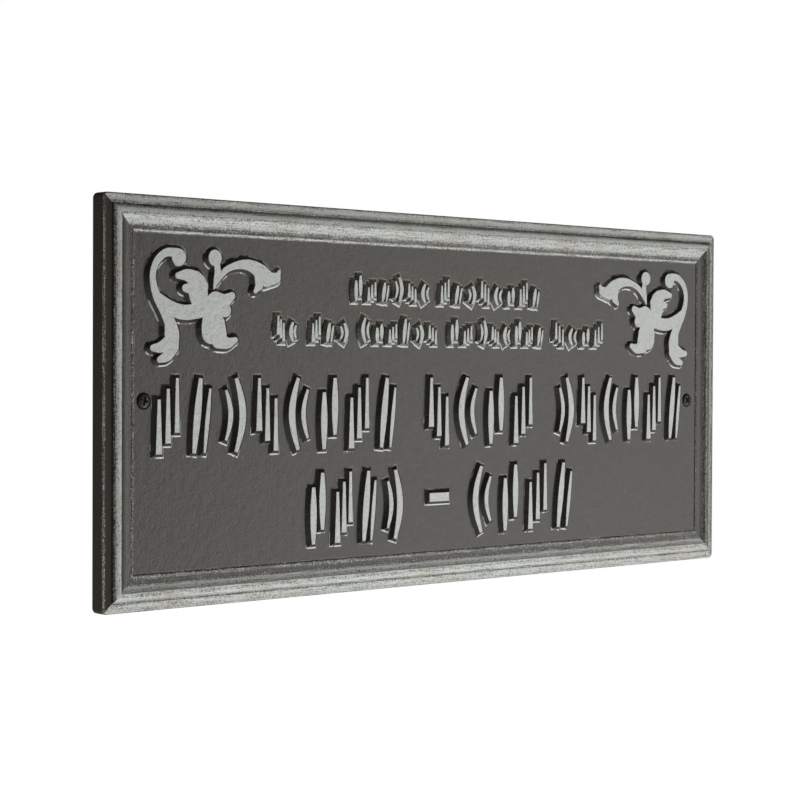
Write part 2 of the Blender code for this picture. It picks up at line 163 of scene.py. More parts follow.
# Screws and their holes
SCREW_INSET = 23.4
SCREW_LEFT_RISE = 1.0
SCREW_RIGHT_RISE = -1.8
SCREW_LEFT_TURN = 12.0
SCREW_RIGHT_TURN = 42.0
HEAD_RADIUS = 3.5
HEAD_RIM = 0.25
HEAD_DOME = 0.9
SEAT_DEPTH = 1.9
SHANK_RADIUS = 1.75
CLEARANCE = 0.35
SHANK_END = 0.35
CUT_PAST = 2.0
RECESS_LENGTH = 4.4
RECESS_WIDTH = 1.0
RECESS_DEPTH = 1.7
RECESS_PAST = 0.4
DOME_STEPS = 10
ROUND_STEPS = 72
HOLE_LIP_WIDTH = 0.2
HOLE_LIP_DEPTH = 0.15
HOLE_LIP_RISE = 0.05

# Left scroll ornament: strokes of across, up and half width from the middle of the plate
OUTER_SCROLL = [
    (-175.5, 69.0, 2.2),
    (-181.5, 68.9, 1.9),
    (-186.4, 65.3, 1.8),
    (-188.8, 60.0, 1.7),
    (-188.7, 54.5, 1.8),
    (-186.6, 48.6, 2.2),
    (-183.2, 43.0, 2.3),
    (-179.6, 37.4, 3.1),
    (-178.3, 32.0, 4.1),
    (-178.2, 27.6, 3.9),
]
FOOT_UPPER_LEAF = [(-179.4, 28.0, 3.4), (-184.4, 25.6, 2.6), (-188.8, 25.2, 1.6)]
FOOT_LOWER_LEAF = [(-177.9, 26.0, 3.6), (-180.9, 21.7, 2.7), (-185.1, 19.9, 1.5)]
CUP = [
    (-185.5, 48.3, 2.0),
    (-181.0, 45.2, 2.7),
    (-175.5, 42.5, 3.4),
    (-169.0, 41.8, 3.5),
    (-159.0, 43.6, 3.6),
]
UPPER_PETAL = [(-161.4, 44.0, 3.8), (-163.0, 49.8, 5.4), (-163.6, 55.0, 5.2)]
UPPER_PETAL_HOOK = [(-164.8, 57.0, 4.2), (-169.5, 58.9, 2.9), (-174.9, 58.6, 1.5)]
UPPER_PETAL_BARB = [(-164.5, 52.6, 3.2), (-170.6, 53.0, 1.9)]
RIGHT_PETAL = [(-158.0, 44.8, 3.4), (-153.4, 46.4, 5.4), (-150.2, 46.6, 4.6)]
RIGHT_PETAL_CORNER = [(-150.0, 46.0, 4.2), (-143.5, 50.0, 1.9)]
RIGHT_PETAL_LOBE = [(-155.0, 43.2, 3.2), (-147.2, 43.2, 3.2)]
LOWER_PETAL = [(-157.4, 41.4, 3.0), (-156.5, 36.4, 4.8), (-155.7, 32.6, 5.4)]
LOWER_PETAL_SIDE = [(-152.2, 36.6, 4.6), (-150.6, 32.0, 4.0)]
LOWER_PETAL_HOOK = [(-151.4, 29.2, 4.0), (-146.0, 27.9, 2.7), (-141.4, 29.3, 1.4)]
BALL_STEM = [(-152.6, 65.4, 1.6), (-151.9, 61.2, 1.8), (-152.8, 57.4, 1.5), (-153.9, 53.4, 0.6)]
ARM = [
    (-153.0, 55.6, 1.0),
    (-148.4, 61.0, 1.5),
    (-143.2, 63.8, 1.6),
    (-137.0, 65.0, 2.2),
    (-131.0, 64.2, 3.0),
    (-125.6, 61.4, 3.9),
    (-121.4, 59.0, 3.4),
]
ARM_TIP = [(-123.2, 58.4, 3.5), (-116.6, 59.3, 2.5)]
ARM_TIP_END = [(-116.2, 59.6, 2.1), (-114.9, 62.2, 1.0)]
ARM_CURL = [(-127.0, 61.6, 3.2), (-127.2, 55.8, 2.3)]
ARM_CURL_TIP = [(-127.2, 55.2, 2.3), (-129.4, 52.8, 1.2)]
SCROLL_STROKES = [
    OUTER_SCROLL,
    FOOT_UPPER_LEAF,
    FOOT_LOWER_LEAF,
    CUP,
    UPPER_PETAL,
    UPPER_PETAL_HOOK,
    UPPER_PETAL_BARB,
    RIGHT_PETAL,
    RIGHT_PETAL_CORNER,
    RIGHT_PETAL_LOBE,
    LOWER_PETAL,
    LOWER_PETAL_SIDE,
    LOWER_PETAL_HOOK,
    BALL_STEM,
    ARM,
    ARM_TIP,
    ARM_TIP_END,
    ARM_CURL,
    ARM_CURL_TIP,
]
SCROLL_DISCS = [(-174.3, 67.0, 4.0), (-174.9, 65.4, 2.6), (-153.5, 67.5, 3.8), (-160.6, 54.0, 3.1)]

# Camera at the photograph's viewing angle: place in metres, turns in degrees
CAMERA_PLACE = (-0.73882, -0.77302, 0.01778)
CAMERA_YAW = 42.6253
CAMERA_PITCH = 0.9719
CAMERA_ROLL = 0.252
CAMERA_LENS = 92.205
SENSOR_WIDTH = 36.0

# Light: places and sizes in metres, powers in watts
KEY_PLACE = (1.56, -1.59, -0.1)
KEY_SIZE = (1.45, 1.7)
KEY_POWER = 19.3
BOUNCE_PLACE = (0.62, -0.72, -0.80)
BOUNCE_SIZE = (0.8, 0.6)
BOUNCE_POWER = 6.5
FLOOR_LEVEL = -0.9
FLOOR_HALF_SIZE = 6.0
FLOOR_LIGHT = 0.55
FLOOR_GLOW = (1.0, 1.0, 0.99, 1.0)
FLOOR_SHADE = (0.86, 0.86, 0.85)
FLOOR_TINT = (0.90, 0.90, 0.89)
FLOOR_ROUGHNESS = 0.8
SURROUND_LIGHT = 0.06
LIGHT_COLOUR = (1.0, 0.985, 0.945)

# Finish: colours are linear
DARK_PAINT = (0.023, 0.0180, 0.0135)
SIDE_PAINT = (0.048, 0.036, 0.024)
BACK_PAINT = (0.085, 0.076, 0.066)
SILVER = (0.440, 0.461, 0.447)
BROWNED_SILVER = (0.37, 0.335, 0.285)
SILVER_METAL = 0.4
PAINT_ROUGHNESS = 0.36
SILVER_ROUGHNESS = 0.48
CREVICE_ROUGHNESS = 0.30
GRIMY_ROUGHNESS = 0.8
GRAIN_CONTRAST = 5.0
LEFT_GRAIN_CONTRAST = 8.0
STREAK_SHARE = 0.4
SPECK_SHARE = 0.6
WALL_SILVER_SHARE = 0.9
SCRATCH_SHARE = 0.16
BROWN_BORDER_SHARE = 0.35
FLAT_GUARD = 0.0004
SMALL_ROWS_REACH = 122.0
SMALL_ROWS_FADE = 4.0
SCREW_DARK = (0.010, 0.010, 0.010)
SCREW_PALE = (0.028, 0.027, 0.026)
SCREW_METAL = 0.6
SCREW_ROUGHNESS = 0.26

# Noise patterns: waves per millimetre, detail and roughness
MOTTLE = (0.30, 4.0, 0.65)
FINE_CLOUDS = (1.6, 3.0, 0.7)
COARSE_SPECKS = (0.9, 4.0, 0.8)
FINE_SPECKS = (1.2, 3.0, 0.8)
BORDER_STREAKS = (1.0, 3.0, 0.6)
WORN_PATCHES = (0.16, 3.0, 0.6)
BROWN_PATCHES = (0.06, 2.0, 0.5)
SCRATCH_LINES = (1.0, 2.0, 0.5)
SCRATCHED_PATCHES = (0.03, 2.0, 0.5)
COARSE_BUMPS = (0.30, 3.0, 0.6)
FINE_BUMPS = (1.0, 3.0, 0.65)
SCREW_CLOUDS = (0.6, 3.0, 0.6)
SCREW_MARKS = (3.0, 2.0, 0.6)
FLOOR_CLOUDS = (0.02, 2.0, 0.5)

# How much of the border's dark paint is rubbed back to silver, by inset, on each side; the sides differ
# partly as painted shade: none on the left rim, in the crest's shadow, and little on the inner slopes of
# the left and right borders and low in the bottom border's cove
TOP_SILVER_AND_PAINTED_LIGHT = [
    (0.0, 0.28),
    (0.6, 0.62),
    (1.4, 0.78),
    (2.2, 1.15),
    (3.2, 1.05),
    (4.4, 0.36),
    (5.4, 0.34),
    (6.2, 0.72),
    (7.0, 1.15),
    (7.8, 1.00),
    (8.6, 0.66),
    (9.4, 0.62),
    (10.2, 0.80),
    (12.8, 0.88),
    (14.2, 0.44),
    (15.0, 0.14),
    (15.8, 0.50),
    (16.6, 0.80),
    (17.2, 0.40),
    (17.8, 0.0),
]
BOTTOM_SILVER_AND_PAINTED_LIGHT = [
    (0.0, 0.50),
    (0.6, 0.76),
    (3.2, 0.84),
    (4.5, 0.50),
    (5.4, 0.86),
    (6.2, 0.90),
    (8.0, 0.64),
    (9.2, 1.00),
    (10.2, 0.74),
    (11.4, 1.00),
    (12.0, 0.60),
    (12.8, 0.08),
    (14.4, 0.04),
    (15.2, 0.20),
    (16.4, 0.40),
    (17.2, 0.16),
    (17.8, 0.0),
]
LEFT_SILVER_AND_PAINTED_LIGHT = [
    (0.0, 0.26),
    (0.25, 0.66),
    (0.6, 0.38),
    (1.0, 0.10),
    (1.8, 0.0),
    (5.0, 0.0),
    (6.0, 0.40),
    (6.8, 1.05),
    (8.9, 1.25),
    (9.15, 0.25),
    (9.5, 0.02),
    (15.0, 0.02),
    (16.4, 0.18),
    (17.2, 0.06),
    (17.8, 0.0),
]
RIGHT_SILVER_AND_PAINTED_LIGHT = [
    (0.0, 0.20),
    (1.0, 0.34),
    (2.0, 0.44),
    (3.2, 0.72),
    (4.4, 0.84),
    (5.6, 0.48),
    (6.8, 0.26),
    (8.9, 0.30),
    (10.4, 0.12),
    (12.0, 0.0),
    (15.0, 0.0),
    (16.4, 0.10),
    (17.8, 0.0),
]
SILVER_REACH = 18.0
BORDER_WIDTH = 17.3


def smooth_path(controls):
    """Samples of across, up and half width on a smooth curve through the controls."""
    knots = [Vector(control) for control in controls]
    if len(knots) == 2:
        return knots
    padded = [2 * knots[0] - knots[1]] + knots + [2 * knots[-1] - knots[-2]]
    samples = []
    for index in range(len(knots) - 1):
        before, start, end, after = padded[index : index + 4]
        for step in range(PATH_STEPS):
            share = step / PATH_STEPS
            linear = (end - before) * share
            squared = (2 * before - 5 * start + 4 * end - after) * share**2
            cubed = (3 * start - before - 3 * end + after) * share**3
            samples.append(0.5 * (2 * start + linear + squared + cubed))
    samples.append(knots[-1])
    return samples


def bend_at(before, middle, after):
    """Signed curvature of the path at its middle sample, positive where it turns left."""
    first = (middle - before).to_2d()
    second = (after - middle).to_2d()
    chord = (after - before).to_2d()
    lengths = first.length * second.length * chord.length
    if lengths < TINY_PRODUCT:
        return 0.0
    return 2 * (first.x * second.y - first.y * second.x) / lengths


def end_points(end, neighbour, widening, square):
    """Points that close an outline past one end of a path, from the side on its left to its right."""
    centre = end.to_2d()
    along = (end - neighbour).to_2d().normalized()
    side = Vector((-along.y, along.x))
    radius = max(end.z + widening, SMALLEST_REACH)
    if square:
        corner = centre + along * widening
        return [corner + side * radius, corner - side * radius]
    points = []
    for step in range(TIP_STEPS + 1):
        angle = math.pi * (0.5 - step / TIP_STEPS)
        points.append(centre + (along * math.cos(angle) + side * math.sin(angle)) * radius)
    return points


def stroke_outline(samples, widening, square):
    """Closed outline round a path, its half widths made larger by the widening."""
    left = []
    right = []
    last = len(samples) - 1
    for index in range(1, last):
        before, middle, after = samples[index - 1 : index + 2]
        along = (after - before).to_2d().normalized()
        side = Vector((-along.y, along.x))
        bend = bend_at(before, middle, after)
        reach = max(middle.z + widening, SMALLEST_REACH)
        inner_reach = min(reach, INNER_BEND_LIMIT / max(abs(bend), TINY_BEND))
        left.append(middle.to_2d() + side * (inner_reach if bend > 0 else reach))
        right.append(middle.to_2d() - side * (inner_reach if bend < 0 else reach))
    end = end_points(samples[last], samples[last - 1], widening, square)
    start = end_points(samples[0], samples[1], widening, square)
    return left + end + right[::-1] + start


def disc_outline(disc, widening):
    """Closed outline of a disc given as across, up and radius."""
    across, up, radius = disc
    outline = []
    for step in range(DISC_STEPS):
        angle = math.tau * step / DISC_STEPS
        reach = radius + widening
        outline.append(Vector((across + reach * math.cos(angle), up + reach * math.sin(angle))))
    return outline


def rounded_rectangle(inset):
    """Outline of the plate at an inset from its outer edge."""
    half_width = PLATE_WIDTH / 2 - inset
    half_height = PLATE_HEIGHT / 2 - inset
    radius = max(CORNER_RADIUS - inset, INNER_CORNER_RADIUS)
    outline = []
    for quarter, (sign_x, sign_z) in enumerate([(1, 1), (-1, 1), (-1, -1), (1, -1)]):
        for step in range(CORNER_STEPS + 1):
            angle = math.pi / 2 * (quarter + step / CORNER_STEPS)
            across = sign_x * (half_width - radius) + radius * math.cos(angle)
            up = sign_z * (half_height - radius) + radius * math.sin(angle)
            outline.append(Vector((across, up)))
    return outline


def new_object(name, mesh, collection):
    """Adds an object for the mesh to the collection."""
    made = bpy.data.objects.new(name, mesh)
    collection.objects.link(made)
    return made


def loft(name, outlines, heights, collection):
    """Closed solid through outlines of equal length, each at its height from the wall."""
    form = bmesh.new()
    rings = []
    for outline, height in zip(outlines, heights):
        rings.append([form.verts.new((point.x * MM, -height * MM, point.y * MM)) for point in outline])
    for lower, upper in zip(rings[:-1], rings[1:]):
        for index in range(len(lower)):
            following = (index + 1) % len(lower)
            form.faces.new((lower[index], lower[following], upper[following], upper[index]))
    form.faces.new(rings[0])
    form.faces.new(rings[-1])
    bmesh.ops.dissolve_degenerate(form, dist=TINY_EDGE * MM, edges=form.edges)
    bmesh.ops.triangulate(form, faces=form.faces)
    bmesh.ops.recalc_face_normals(form, faces=form.faces)
    mesh = bpy.data.meshes.new(name)
    form.to_mesh(mesh)
    form.free()
    return new_object(name, mesh, collection)


def turned(name, profile, collection):
    """Closed solid turned about the Y axis from a profile of radius and height from the wall."""
    form = bmesh.new()
    points = [form.verts.new((radius * MM, -height * MM, 0)) for radius, height in profile]
    edges = [form.edges.new(pair) for pair in zip(points[:-1], points[1:])]
    bmesh.ops.spin(
        form,
        geom=points + edges,
        cent=(0, 0, 0),
        axis=(0, 1, 0),
        angle=math.tau,
        steps=ROUND_STEPS,
        use_merge=True,
    )
    bmesh.ops.remove_doubles(form, verts=form.verts, dist=MERGE_DISTANCE * MM)
    bmesh.ops.recalc_face_normals(form, faces=form.faces)
    mesh = bpy.data.meshes.new(name)
    form.to_mesh(mesh)
    form.free()
    return new_object(name, mesh, collection)


def ellipse_quarter(start, width, rise, steps):
    """Quarter of an ellipse from the start, steep at first and flat at its end."""
    inset, height = start
    points = []
    for step in range(1, steps + 1):
        angle = math.pi / 2 * step / steps
        points.append((inset + width * (1 - math.cos(angle)), height + rise * math.sin(angle)))
    return points


def border_profile():
    """Insets and heights of the moulded border, from the back edge round the front to the field."""
    profile = [(BACK_ROUNDING, 0.0)]
    for step in range(1, EDGE_STEPS + 1):
        angle = math.pi / 2 * step / EDGE_STEPS
        profile.append((BACK_ROUNDING * (1 - math.sin(angle)), BACK_ROUNDING * (1 - math.cos(angle))))
    rim_start = (0.0, EDGE_HEIGHT - EDGE_ROUNDING)
    profile.append(rim_start)
    profile += ellipse_quarter(rim_start, EDGE_ROUNDING, EDGE_ROUNDING, EDGE_STEPS)
    for step in range(1, RIM_STEPS):
        share = step / RIM_STEPS
        inset = EDGE_ROUNDING + (RIM_WIDTH - EDGE_ROUNDING) * share
        profile.append((inset, EDGE_HEIGHT + RIM_RISE * share**2))
    rim_height = EDGE_HEIGHT + RIM_RISE
    for step in range(GROOVE_STEPS + 1):
        share = step / GROOVE_STEPS
        sink = GROOVE_DEPTH * math.sin(math.pi * share)
        profile.append((RIM_WIDTH + GROOVE_WIDTH * share, rim_height - sink))
    crest_foot = (RIM_WIDTH + GROOVE_WIDTH, rim_height)
    profile += ellipse_quarter(crest_foot, CREST_WIDTH, CREST_HEIGHT - rim_height, CREST_STEPS)
    cove_start = crest_foot[0] + CREST_WIDTH + CREST_EDGE_WIDTH
    cove_drop = CREST_HEIGHT - CREST_EDGE_DROP - VALLEY_HEIGHT
    for step in range(COVE_STEPS + 1):
        share = step / COVE_STEPS
        profile.append((cove_start + COVE_WIDTH * share, VALLEY_HEIGHT + cove_drop * (1 - share) ** 2))
    bead_start = cove_start + COVE_WIDTH + BEAD_GAP
    for step in range(BEAD_STEPS + 1):
        share = step / BEAD_STEPS
        base = VALLEY_HEIGHT + (FIELD_HEIGHT - VALLEY_HEIGHT) * share
        profile.append((bead_start + BEAD_WIDTH * share, base + BEAD_RISE * math.sin(math.pi * share)))
    return profile


def plate(collection):
    """The plate with its moulded border, before the raised work and the holes."""
    profile = border_profile()
    outlines = [rounded_rectangle(inset) for inset, height in profile]
    return loft("plaque_casting", outlines, [height for inset, height in profile], collection)


def raise_outline(name, outline_at, collection):
    """Drafted solid with a lipped foot, from a function that gives its outline at a widening."""
    # Each solid has its own level, so that no two lie in one plane before the tops are trimmed.
    level = LEVEL_STEP * (len(collection.objects) % LEVELS)
    allowance = TRIM_ALLOWANCE + level
    rings = [(-ROOT_DEPTH - level, LIP_OUTSIDE + ROOT_SPREAD)]
    rings += [(rise + (level if rise < RELIEF else 0.0), outside) for rise, outside in WALL_STEPS]
    rings.append((RELIEF + allowance, WALL_STEPS[-1][1] - allowance))
    outlines = [outline_at(outside) for rise, outside in rings]
    loft(name, outlines, [FIELD_HEIGHT + rise for rise, outside in rings], collection)


def raise_stroke(name, samples, square, collection):
    """Drafted solid along one stroke of across, up and half width samples."""
    path = [Vector(sample) for sample in samples]
    raise_outline(name, lambda widening: stroke_outline(path, widening, square), collection)


def raise_disc(name, disc, collection):
    """Drafted solid over one disc."""
    raise_outline(name, lambda widening: disc_outline(disc, widening), collection)


def scrolls(collection):
    """Both scroll ornaments: the left one as drawn and the right one mirrored."""
    for side, hand in (("left", 1), ("right", -1)):
        for index, controls in enumerate(SCROLL_STROKES):
            placed = [(hand * across + DESIGN_SHIFT, up, half) for across, up, half in controls]
            raise_stroke(f"scroll_{side}_{index}", smooth_path(placed), False, collection)
        for index, (across, up, radius) in enumerate(SCROLL_DISCS):
            raise_disc(f"ball_{side}_{index}", (hand * across + DESIGN_SHIFT, up, radius), collection)


def wedge(across, low, high, low_weight, high_weight):
    """Straight upright stroke, as across, up and weight in shares of a mark's cell."""
    return [(across, low, low_weight), (across, high, high_weight)]


def bow(low_across, high_across, depth, low, high, weight, pieces):
    """Stroke with thin tips that bows sideways by its depth, or a pointed bar where the depth is 0."""
    samples = []
    for piece in range(pieces + 1):
        share = piece / pieces
        swell = math.sin(math.pi * share)
        across = low_across + (high_across - low_across) * share + depth * swell
        samples.append((across, low + (high - low) * share, weight * (TIP_SHARE + (1 - TIP_SHARE) * swell)))
    return samples


def marks(pieces):
    """The abstract marks that the rows repeat. None is a letter or a figure."""
    falling_wedges = [
        wedge(0.06, 0.28, 1.0, 0.9, 0.4),
        wedge(0.50, 0.14, 0.86, 0.8, 0.4),
        wedge(0.94, 0.0, 0.72, 0.7, 0.4),
    ]
    nested_left = [
        bow(0.46, 0.46, -0.34, 0.0, 1.0, 1.0, pieces),
        bow(0.98, 0.98, -0.24, 0.16, 0.84, 0.7, pieces),
    ]
    staggered_lenses = [
        bow(0.20, 0.20, 0.0, 0.0, 0.80, 1.0, pieces),
        bow(0.80, 0.80, 0.0, 0.20, 1.0, 1.0, pieces),
    ]
    leaning_lenses = [
        bow(0.10, 0.42, 0.0, 0.0, 1.0, 1.0, pieces),
        bow(0.62, 0.90, 0.0, 0.0, 0.86, 0.6, pieces),
    ]
    nested_right = [
        bow(0.02, 0.02, 0.24, 0.16, 0.84, 0.7, pieces),
        bow(0.54, 0.54, 0.34, 0.0, 1.0, 1.0, pieces),
    ]
    rising_wedges = [
        wedge(0.06, 0.0, 0.72, 0.9, 0.4),
        wedge(0.50, 0.14, 0.86, 0.8, 0.4),
        wedge(0.94, 0.28, 1.0, 0.7, 0.4),
    ]
    return [
        falling_wedges,
        nested_left,
        staggered_lenses,
        rising_wedges,
        leaning_lenses,
        nested_right,
    ]


def in_cell(stroke, left, foot, width, height, half_width):
    """Samples of one stroke in millimetres, fitted inside its cell."""
    inner = width - 2 * half_width
    return [
        (left + half_width + across * inner, foot + up * height, half_width * weight)
        for across, up, weight in stroke
    ]


def row(name, foot, words, height, half_width, target_pitch, lower_share, pieces, collection):
    """One row of raised marks. After the first in a word, most are as low as the lower share."""
    kinds = marks(pieces)
    turn = len(words)
    for word_index, (left, right) in enumerate(words):
        count = max(1, round((right - left) / target_pitch))
        pitch = (right - left) / (count - MARK_GAP_SHARE)
        width = pitch * (1 - MARK_GAP_SHARE)
        for index in range(count):
            low = index % 3 != 0
            mark_height = height * (lower_share if low else 1.0)
            cell_left = left + index * pitch + DESIGN_SHIFT
            for stroke_index, stroke in enumerate(kinds[(turn + index) % len(kinds)]):
                samples = in_cell(stroke, cell_left, foot, width, mark_height, half_width)
                raise_stroke(f"{name}_{word_index}_{index}_{stroke_index}", samples, True, collection)
        turn += count + 1


def dash(collection):
    """The short level bar in the middle of the fourth row."""
    controls = [
        (DASH_LEFT + DESIGN_SHIFT, DASH_MIDDLE, DASH_HALF_WIDTH),
        (DASH_RIGHT + DESIGN_SHIFT, DASH_MIDDLE, DASH_HALF_WIDTH),
    ]
    raise_stroke("dash", controls, True, collection)


def inscription(collection):
    """All four rows of raised marks."""
    small = (SMALL_HEIGHT, SMALL_HALF_WIDTH, SMALL_PITCH, LOWER_MARK_SHARE, SMALL_BOW_PIECES)
    large = (LARGE_HEIGHT, LARGE_HALF_WIDTH, LARGE_PITCH, 1.0, LARGE_BOW_PIECES)
    row("row_one", FIRST_ROW_FOOT, FIRST_ROW_WORDS, *small, collection)
    row("row_two", SECOND_ROW_FOOT, SECOND_ROW_WORDS, *small, collection)
    row("row_three", THIRD_ROW_FOOT, THIRD_ROW_WORDS, *large, collection)
    row("row_four", FOURTH_ROW_FOOT, FOURTH_ROW_WORDS, *large, collection)
    dash(collection)


def screw_places():
    """Name, across, up and turn of each screw."""
    half = PLATE_WIDTH / 2 - SCREW_INSET
    return [
        ("screw_left", DESIGN_SHIFT - half, SCREW_LEFT_RISE, SCREW_LEFT_TURN),
        ("screw_right", DESIGN_SHIFT + half, SCREW_RIGHT_RISE, SCREW_RIGHT_TURN),
    ]


def top_cutter(name, collection):
    """Block that trims the raised work flat, over the field only."""
    field_inset = border_profile()[-1][0]
    half_width = PLATE_WIDTH / 2 - field_inset
    half_height = PLATE_HEIGHT / 2 - field_inset
    corners = [(half_width, half_height), (-half_width, half_height)]
    corners += [(-half_width, -half_height), (half_width, -half_height)]
    outline = [Vector(corner) for corner in corners]
    heights = [FIELD_HEIGHT + RELIEF, FIELD_HEIGHT + RELIEF + 2 * CLEARANCE]
    loft(name, [outline, outline], heights, collection)


def hole_cutter(name, across, up, collection):
    """Countersunk hole with clearance round a screw, longer than the plate is thick."""
    bore_radius = SHANK_RADIUS + CLEARANCE
    mouth_radius = HEAD_RADIUS + CLEARANCE
    rim = FIELD_HEIGHT - HEAD_RIM
    profile = [
        (0.0, -CUT_PAST),
        (bore_radius, -CUT_PAST),
        (bore_radius, FIELD_HEIGHT - SEAT_DEPTH - CLEARANCE),
        (mouth_radius, rim - CLEARANCE),
        (mouth_radius, FIELD_HEIGHT - HOLE_LIP_DEPTH),
        (mouth_radius + HOLE_LIP_WIDTH, FIELD_HEIGHT + HOLE_LIP_RISE),
        (mouth_radius + HOLE_LIP_WIDTH, FIELD_HEIGHT + CUT_PAST),
        (0.0, FIELD_HEIGHT + CUT_PAST),
    ]
    cutter = turned(name, profile, collection)
    cutter.location = (across * MM, 0, up * MM)


def recess_cutter(name, collection):
    """Tapered cross that cuts the driver recess."""
    outlines = []
    bottom = (RECESS_LENGTH * 0.4, RECESS_WIDTH * 0.7)
    mouth = (RECESS_LENGTH * 1.15, RECESS_WIDTH * 1.1)
    for length, width in (bottom, mouth):
        arm = length / 2
        half = width / 2
        outline = []
        for quarter in range(4):
            turn = Vector((math.cos(math.pi / 2 * quarter), math.sin(math.pi / 2 * quarter)))
            side = Vector((-turn.y, turn.x))
            outline += [turn * arm - side * half, turn * arm + side * half, turn * half + side * half]
        outlines.append(outline)
    heights = [FIELD_HEIGHT + HEAD_DOME - RECESS_DEPTH, FIELD_HEIGHT + HEAD_DOME + RECESS_PAST]
    loft(name, outlines, heights, collection)


def screw_profile():
    """Radii and heights of a raised countersunk screw, from the end of the shank to the top of the head."""
    profile = [
        (0.0, SHANK_END),
        (SHANK_RADIUS, SHANK_END),
        (SHANK_RADIUS, FIELD_HEIGHT - SEAT_DEPTH),
        (HEAD_RADIUS, FIELD_HEIGHT - HEAD_RIM),
        (HEAD_RADIUS, FIELD_HEIGHT),
    ]
    for step in range(1, DOME_STEPS + 1):
        angle = math.pi / 2 * step / DOME_STEPS
        profile.append((HEAD_RADIUS * math.cos(angle), FIELD_HEIGHT + HEAD_DOME * math.sin(angle)))
    return profile


def add_boolean(target, operation, collection):
    """Joins or cuts the target with every solid of a collection."""
    modifier = target.modifiers.new(operation.lower(), "BOOLEAN")
    modifier.operation = operation
    modifier.operand_type = "COLLECTION"
    modifier.collection = collection
    modifier.solver = "EXACT"


def new_collection(name):
    """Adds a collection to the scene."""
    made = bpy.data.collections.new(name)
    bpy.context.scene.collection.children.link(made)
    return made


def apply_modifiers(target):
    """Puts the result of the modifiers into the mesh and drops them."""
    graph = bpy.context.evaluated_depsgraph_get()
    mesh = bpy.data.meshes.new_from_object(target.evaluated_get(graph))
    target.modifiers.clear()
    target.data = mesh


def drop(collection):
    """Removes a collection with the helpers in it."""
    for helper in list(collection.objects):
        bpy.data.objects.remove(helper)
    bpy.data.collections.remove(collection)


def shade(target):
    """Smooth shading, with sharp edges and the edges of faces that look straight ahead left crisp."""
    mesh = target.data
    ahead = set()
    for face in mesh.polygons:
        face.use_smooth = True
        if face.normal.y < -STRAIGHT_AHEAD:
            ahead.update(face.edge_keys)
    mesh.set_sharp_from_angle(angle=math.radians(SHARP_ANGLE))
    for edge in mesh.edges:
        if edge.key in ahead:
            edge.use_edge_sharp = True


def make_casting():
    """The plate with its raised work and screw holes, as one mesh."""
    raised = new_collection("raised_work")
    cutters = new_collection("cutters")
    casting = plate(bpy.context.scene.collection)
    scrolls(raised)
    inscription(raised)
    top_cutter("top_trim", cutters)
    for name, across, up, turn in screw_places():
        hole_cutter(name + "_hole", across, up, cutters)
    add_boolean(casting, "UNION", raised)
    add_boolean(casting, "DIFFERENCE", cutters)
    apply_modifiers(casting)
    drop(raised)
    drop(cutters)
    shade(casting)
    return casting


def make_screw(name, across, up, turn):
    """One screw with its driver recess, its place and turn in its mesh."""
    recess = new_collection(name + "_recess")
    recess_cutter(name + "_recess_cutter", recess)
    made = turned(name + "_fine", screw_profile(), bpy.context.scene.collection)
    add_boolean(made, "DIFFERENCE", recess)
    apply_modifiers(made)
    drop(recess)
    place = Matrix.Translation((across * MM, 0, up * MM)) @ Matrix.Rotation(math.radians(turn), 4, "Y")
    made.data.transform(place)
    shade(made)
    return made


